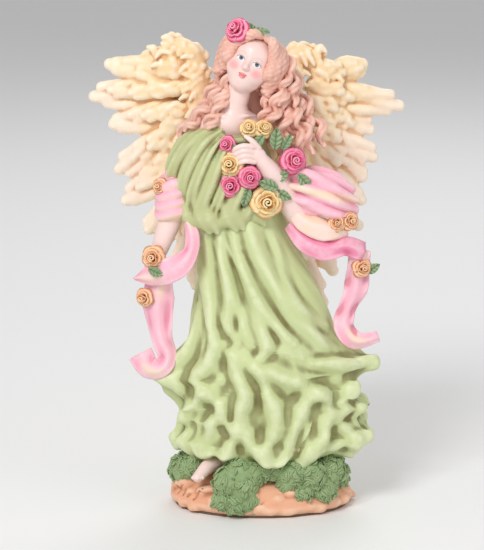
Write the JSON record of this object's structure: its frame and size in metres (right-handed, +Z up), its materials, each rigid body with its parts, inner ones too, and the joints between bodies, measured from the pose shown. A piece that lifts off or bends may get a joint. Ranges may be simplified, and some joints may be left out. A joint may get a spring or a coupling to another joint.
{
  "type": "resin angel figurine",
  "caption": "Free-standing painted resin angel in a flowing gown, with spread wings, rose garland, ribbons and leafy oval base.",
  "frame": {"origin": "centre of the flat underside of the felt under the base", "axes": "+Z up, the figurine faces -Y, its right side is towards -X"},
  "size_m": [0.1277, 0.061, 0.2012],
  "materials": {
    "felt": "matte felt",
    "earth": "matte painted resin, washed darker in the hollows",
    "gown_green": "matte painted resin, lighter on the folds",
    "skin": "matte painted resin with blushed cheeks",
    "wing_cream": "matte painted resin, whiter feather tips",
    "hair": "matte painted resin",
    "ribbon_pink": "matte painted resin, cream inside the folds",
    "ribbon_magenta": "matte painted resin",
    "foliage_green": "matte painted resin",
    "rose_pink": "matte painted resin",
    "rose_yellow": "matte painted resin",
    "rose_peach": "matte painted resin",
    "leaf_green": "matte painted resin"
  },
  "bodies": {
    "root": {"felt_pad": "felt", "ground_base": "earth", "gown_skirt": "gown_green", "gown_bodice": "gown_green", "bust": "skin", "head": "skin", "right_wing": "wing_cream", "left_wing": "wing_cream", "hair_crown": "hair", "hair_back": "hair", "hair_curls_right": "hair", "hair_curls_left": "hair", "right_sleeve_wrap": "ribbon_pink", "right_forearm": "skin", "left_forearm": "skin", "left_shawl_upper": "ribbon_pink", "left_shawl_lower": "ribbon_pink", "left_ribbon_sash": "ribbon_magenta", "left_ribbon_tail": "ribbon_pink", "right_ribbon_loop": "ribbon_pink", "right_ribbon_tail": "ribbon_pink", "right_foot": "skin", "foliage_front": "foliage_green", "foliage_left": "foliage_green", "foliage_right": "foliage_green", "foliage_back": "foliage_green", "garland_roses_pink": "rose_pink", "garland_roses_yellow": "rose_yellow", "garland_leaves": "leaf_green", "ribbon_roses": "rose_peach", "ribbon_leaves": "leaf_green", "hair_rose": "rose_pink", "hair_leaf": "leaf_green"}
  },
  "joints": []
}
